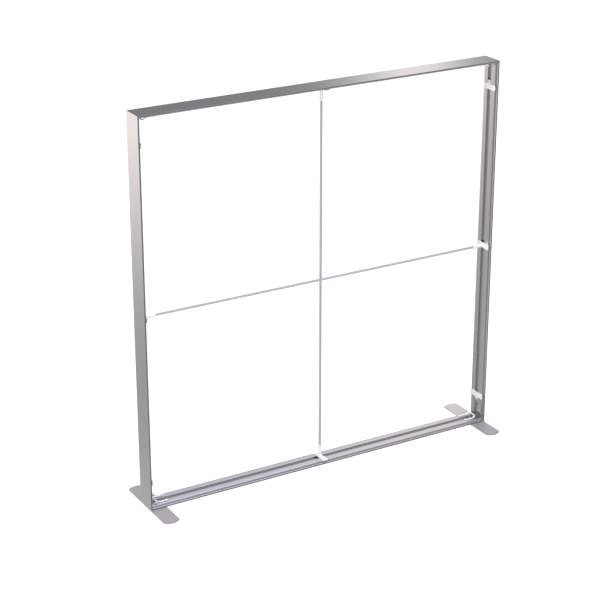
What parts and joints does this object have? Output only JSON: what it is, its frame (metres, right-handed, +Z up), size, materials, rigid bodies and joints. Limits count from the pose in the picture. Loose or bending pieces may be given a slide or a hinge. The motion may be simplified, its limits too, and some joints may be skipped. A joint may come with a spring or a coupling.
{
  "type": "lightbox display wall",
  "caption": "Bare square lightbox frame of mitred extruded profiles with crossing support bars, clips, corner bails and flat feet.",
  "frame": {"origin": "on the floor, below the middle of the frame's width and depth", "axes": "+Z up, +X along the frame's width to the viewer's right, front faces -Y"},
  "size_m": [2, 0.436, 2.0053],
  "materials": {
    "satin_aluminium": "satin anodised",
    "bar_metal": "drawn, satin",
    "foot_steel": "fine matte coat",
    "white_plastic": "moulded, satin",
    "brace_metal": "cut, unfinished",
    "screw_steel": "zinc plated"
  },
  "bodies": {
    "frame": {"bail_hinge_bottom_left_back": "white_plastic", "bail_hinge_bottom_left_front": "white_plastic", "bail_hinge_bottom_right_back": "white_plastic", "bail_hinge_bottom_right_front": "white_plastic", "bail_hinge_top_left_back": "white_plastic", "bail_hinge_top_left_front": "white_plastic", "bail_hinge_top_right_back": "white_plastic", "bail_hinge_top_right_front": "white_plastic", "bottom_rail": "satin_aluminium", "brace_screw_bottom_left_back": "screw_steel", "brace_screw_bottom_left_front": "screw_steel", "brace_screw_bottom_right_back": "screw_steel", "brace_screw_bottom_right_front": "screw_steel", "brace_screw_top_left_back": "screw_steel", "brace_screw_top_left_front": "screw_steel", "brace_screw_top_right_back": "screw_steel", "brace_screw_top_right_front": "screw_steel", "corner_brace_bottom_left_back": "brace_metal", "corner_brace_bottom_left_front": "brace_metal", "corner_brace_bottom_right_back": "brace_metal", "corner_brace_bottom_right_front": "brace_metal", "corner_brace_top_left_back": "brace_metal", "corner_brace_top_left_front": "brace_metal", "corner_brace_top_right_back": "brace_metal", "corner_brace_top_right_front": "brace_metal", "foot_bracket_left": "satin_aluminium", "foot_bracket_right": "satin_aluminium", "foot_plate_left": "foot_steel", "foot_plate_right": "foot_steel", "foot_screw_left_1": "screw_steel", "foot_screw_left_2": "screw_steel", "foot_screw_right_1": "screw_steel", "foot_screw_right_2": "screw_steel", "left_post": "satin_aluminium", "lock_bolt_left": "screw_steel", "lock_bolt_right": "screw_steel", "right_post": "satin_aluminium", "top_rail": "satin_aluminium"},
    "crossbar_set": {"crossbar": "bar_metal", "crossbar_clip_left": "white_plastic", "crossbar_clip_right": "white_plastic", "crossbar_sleeve_left": "white_plastic", "crossbar_sleeve_right": "white_plastic"},
    "upright_bar_set": {"upright_bar": "bar_metal", "upright_bar_clip_bottom": "white_plastic", "upright_bar_clip_top": "white_plastic", "upright_bar_sleeve_bottom": "white_plastic", "upright_bar_sleeve_top": "white_plastic"},
    "corner_bail_bottom_left": {"corner_bail_bottom_left": "white_plastic"},
    "corner_bail_bottom_right": {"corner_bail_bottom_right": "white_plastic"},
    "corner_bail_top_left": {"corner_bail_top_left": "white_plastic"},
    "corner_bail_top_right": {"corner_bail_top_right": "white_plastic"},
    "end_clip_left_lower": {"end_clip_left_lower": "white_plastic"},
    "end_clip_left_upper": {"end_clip_left_upper": "white_plastic"},
    "end_clip_right_lower": {"end_clip_right_lower": "white_plastic"},
    "end_clip_right_upper": {"end_clip_right_upper": "white_plastic"}
  },
  "joints": [
    {"name": "crossbar_height", "type": "slide", "parent": "frame", "child": "crossbar_set", "axis": [0, 0, 1], "range_m": [-0.6, 0.6]},
    {"name": "upright_bar_shift", "type": "slide", "parent": "frame", "child": "upright_bar_set", "axis": [1, 0, 0], "range_m": [-0.6, 0.6]},
    {"name": "corner_bail_bottom_left_hinge", "type": "hinge", "parent": "frame", "child": "corner_bail_bottom_left", "pos_m": [-0.897, 0, 0.0246], "axis": [0, 1, 0], "range_deg": [0, 90]},
    {"name": "corner_bail_bottom_right_hinge", "type": "hinge", "parent": "frame", "child": "corner_bail_bottom_right", "pos_m": [0.897, 0, 0.0246], "axis": [0, -1, 0], "range_deg": [0, 90]},
    {"name": "corner_bail_top_left_hinge", "type": "hinge", "parent": "frame", "child": "corner_bail_top_left", "pos_m": [-0.897, 0, 1.986], "axis": [0, -1, 0], "range_deg": [0, 90]},
    {"name": "corner_bail_top_right_hinge", "type": "hinge", "parent": "frame", "child": "corner_bail_top_right", "pos_m": [0.897, 0, 1.986], "axis": [0, 1, 0], "range_deg": [0, 90]},
    {"name": "end_clip_left_lower_slide", "type": "slide", "parent": "frame", "child": "end_clip_left_lower", "axis": [0, 0, 1], "range_m": [-0.08, 0.2]},
    {"name": "end_clip_left_upper_slide", "type": "slide", "parent": "frame", "child": "end_clip_left_upper", "axis": [0, 0, 1], "range_m": [-0.2, 0.08]},
    {"name": "end_clip_right_lower_slide", "type": "slide", "parent": "frame", "child": "end_clip_right_lower", "axis": [0, 0, 1], "range_m": [-0.08, 0.2]},
    {"name": "end_clip_right_upper_slide", "type": "slide", "parent": "frame", "child": "end_clip_right_upper", "axis": [0, 0, 1], "range_m": [-0.2, 0.08]}
  ]
}
